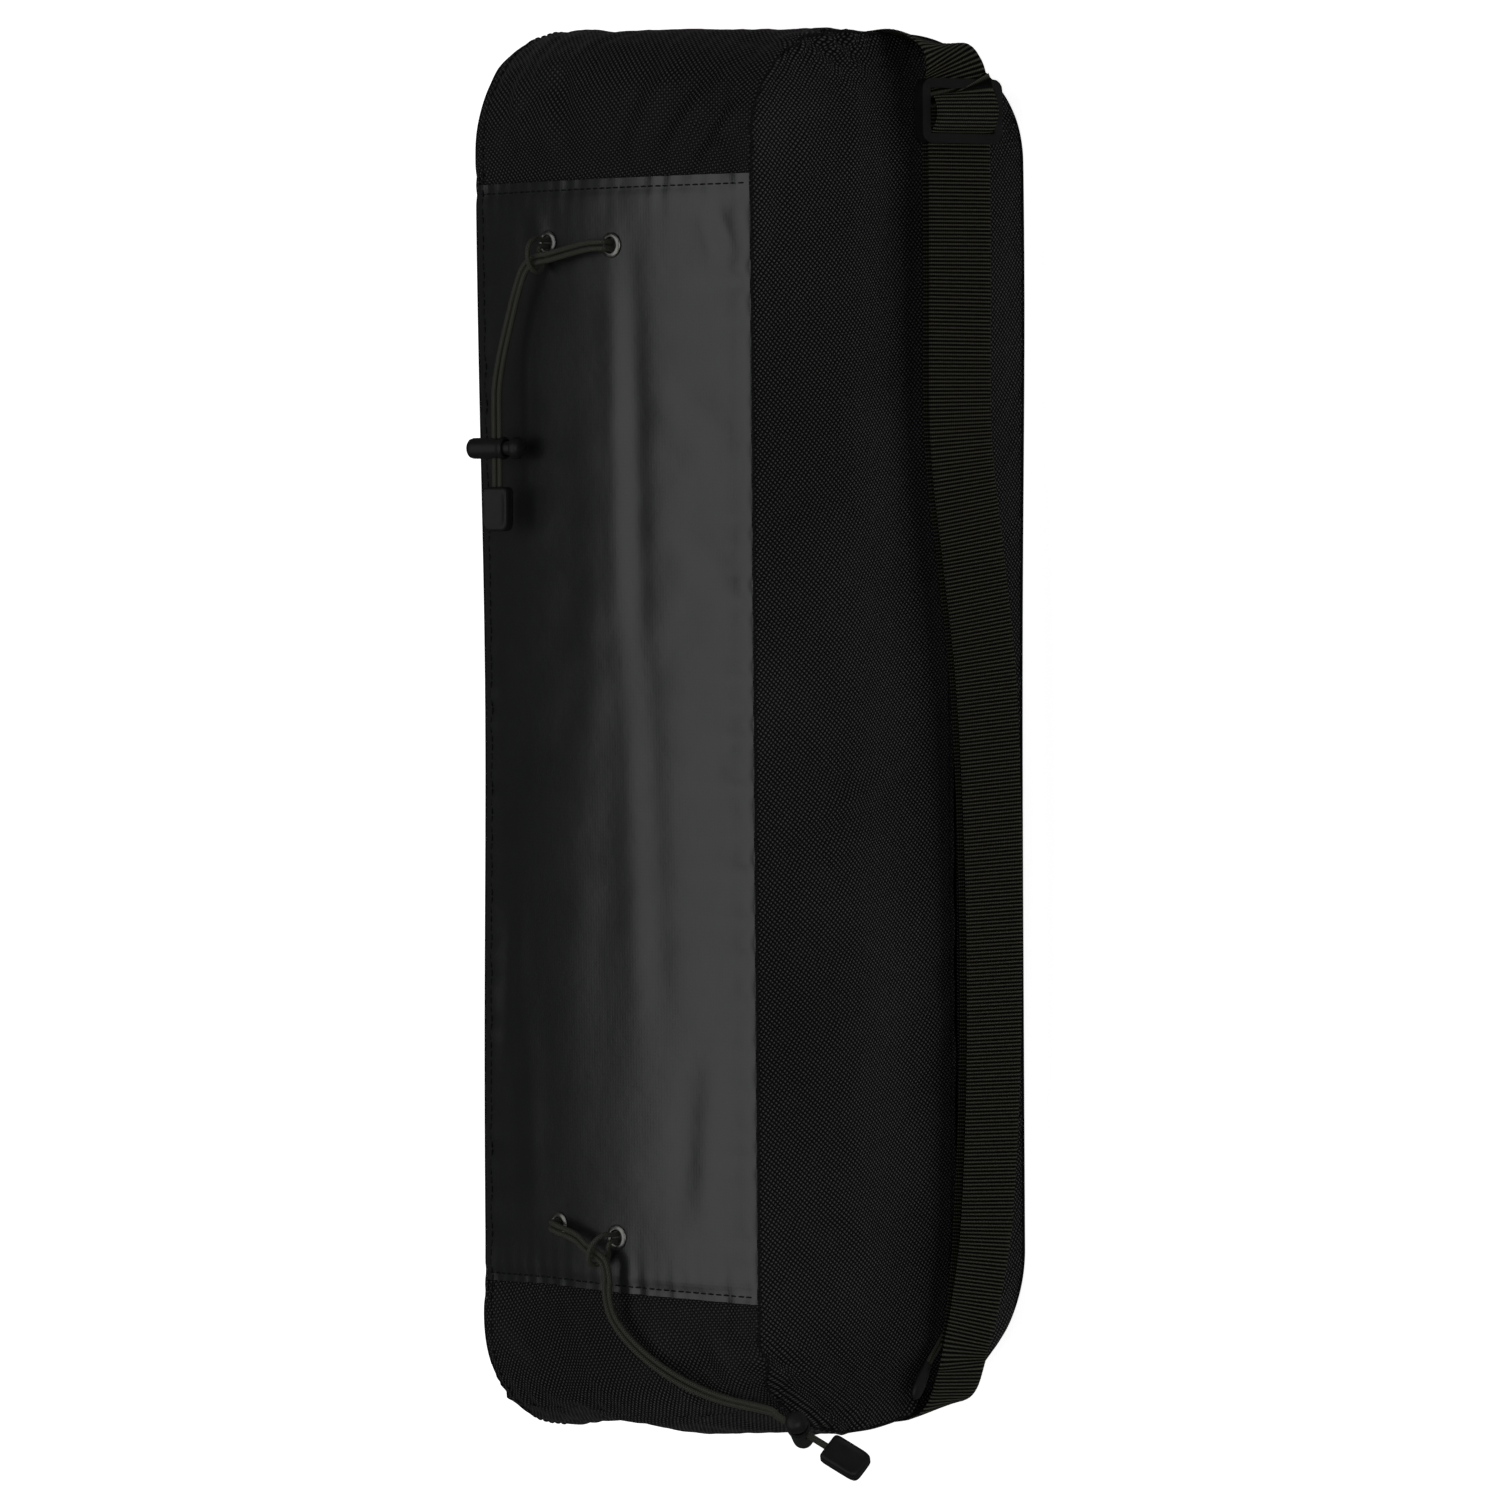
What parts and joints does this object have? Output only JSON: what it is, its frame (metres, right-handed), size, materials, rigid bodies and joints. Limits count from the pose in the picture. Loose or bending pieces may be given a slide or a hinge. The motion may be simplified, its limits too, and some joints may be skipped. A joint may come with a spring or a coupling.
{
  "type": "compression sack",
  "caption": "Soft rectangular compression sack with a coated front panel, elastic drawcords with spring locks, a side zip and an adjustable shoulder strap.",
  "frame": {"origin": "middle of the back panel's flat outer face", "axes": "+X along the sack to its upper end, +Z out of the front face, strap and zip on the -Y side"},
  "size_m": [0.6072, 0.2079, 0.1924],
  "materials": {
    "coated_fabric": "smooth satin coating, dark grey",
    "oxford_fabric": "matt woven nylon, black",
    "binding_tape": "matt tape, black",
    "webbing": "ribbed webbing, black",
    "zip_coil": "nylon coil, black",
    "moulded_plastic": "satin moulded plastic, black",
    "elastic_cord": "braided elastic cord, black",
    "black_metal": "black plated metal, satin",
    "spring_steel": "bright spring wire"
  },
  "bodies": {
    "sack": {"front_panel_coated": "coated_fabric", "front_panel_upper": "oxford_fabric", "front_panel_lower": "oxford_fabric", "back_panel": "oxford_fabric", "side_panel_plain": "oxford_fabric", "side_panel_strap_front": "oxford_fabric", "side_panel_strap_rear": "oxford_fabric", "seam_binding_strap_side": "binding_tape", "seam_binding_plain_side": "binding_tape", "zip_tape_front": "binding_tape", "zip_tape_rear": "binding_tape", "strap_upper_tab": "webbing", "strap_lower_tab": "webbing", "zip_coil_front": "zip_coil", "zip_coil_rear": "zip_coil", "upper_cord_end_cover": "moulded_plastic", "upper_cord_end_base": "moulded_plastic", "lower_cord_end_cover": "moulded_plastic", "lower_cord_end_base": "moulded_plastic", "upper_cord_strand_a": "elastic_cord", "upper_cord_strand_b": "elastic_cord", "upper_cord_bight": "elastic_cord", "lower_cord_strand_a": "elastic_cord", "lower_cord_strand_b": "elastic_cord", "lower_cord_bight": "elastic_cord", "zip_top_stop": "black_metal", "zip_bottom_stop": "black_metal", "eyelet_upper_left": "black_metal", "eyelet_upper_right": "black_metal", "eyelet_lower_left": "black_metal", "eyelet_lower_right": "black_metal", "eyelet_washer_upper_left": "black_metal", "eyelet_washer_upper_right": "black_metal", "eyelet_washer_lower_left": "black_metal", "eyelet_washer_lower_right": "black_metal"},
    "zip_slider_body": {"zip_slider": "black_metal"},
    "zip_pull": {"zip_pull_cord": "elastic_cord", "zip_pull_tip": "moulded_plastic"},
    "shoulder_strap": {"strap_front_layer": "webbing", "strap_return_layer": "webbing"},
    "buckle": {"strap_tri_glide": "moulded_plastic"},
    "upper_lock": {"upper_lock_barrel": "moulded_plastic", "upper_lock_spring": "spring_steel"},
    "upper_button": {"upper_lock_button": "moulded_plastic"},
    "lower_lock": {"lower_lock_barrel": "moulded_plastic", "lower_lock_spring": "spring_steel"},
    "lower_button": {"lower_lock_button": "moulded_plastic"}
  },
  "joints": [
    {"name": "zip_slide", "type": "slide", "parent": "sack", "child": "zip_slider_body", "axis": [1, 0, 0], "range_m": [0, 0.446]},
    {"name": "zip_pull_swing", "type": "hinge", "parent": "zip_slider_body", "child": "zip_pull", "pos_m": [-0.2235, -0.0887, 0.045], "axis": [0, 1, 0], "range_deg": [0, 100]},
    {"name": "strap_swing", "type": "hinge", "parent": "sack", "child": "shoulder_strap", "pos_m": [0, -0.0925, 0.0865], "axis": [-1, 0, 0], "range_deg": [0, 100]},
    {"name": "buckle_slide", "type": "slide", "parent": "shoulder_strap", "child": "buckle", "axis": [-1, 0, 0], "range_m": [0, 0.115]},
    {"name": "upper_lock_slide", "type": "slide", "parent": "sack", "child": "upper_lock", "axis": [1, 0, 0], "range_m": [-0.008, 0.014]},
    {"name": "upper_lock_press", "type": "slide", "parent": "upper_lock", "child": "upper_button", "axis": [0, 0.9781, 0.208], "range_m": [0, 0.0033], "stiffness_N_per_m": 900, "springref_m": -0.003, "deforming": ["upper_lock_spring"]},
    {"name": "lower_lock_slide", "type": "slide", "parent": "sack", "child": "lower_lock", "axis": [-0.4597, -0.8395, -0.2898], "range_m": [-0.004, 0.006]},
    {"name": "lower_lock_press", "type": "slide", "parent": "lower_lock", "child": "lower_button", "axis": [-0.4415, 0.4992, -0.7456], "range_m": [0, 0.0033], "stiffness_N_per_m": 900, "springref_m": -0.003, "deforming": ["lower_lock_spring"]}
  ]
}
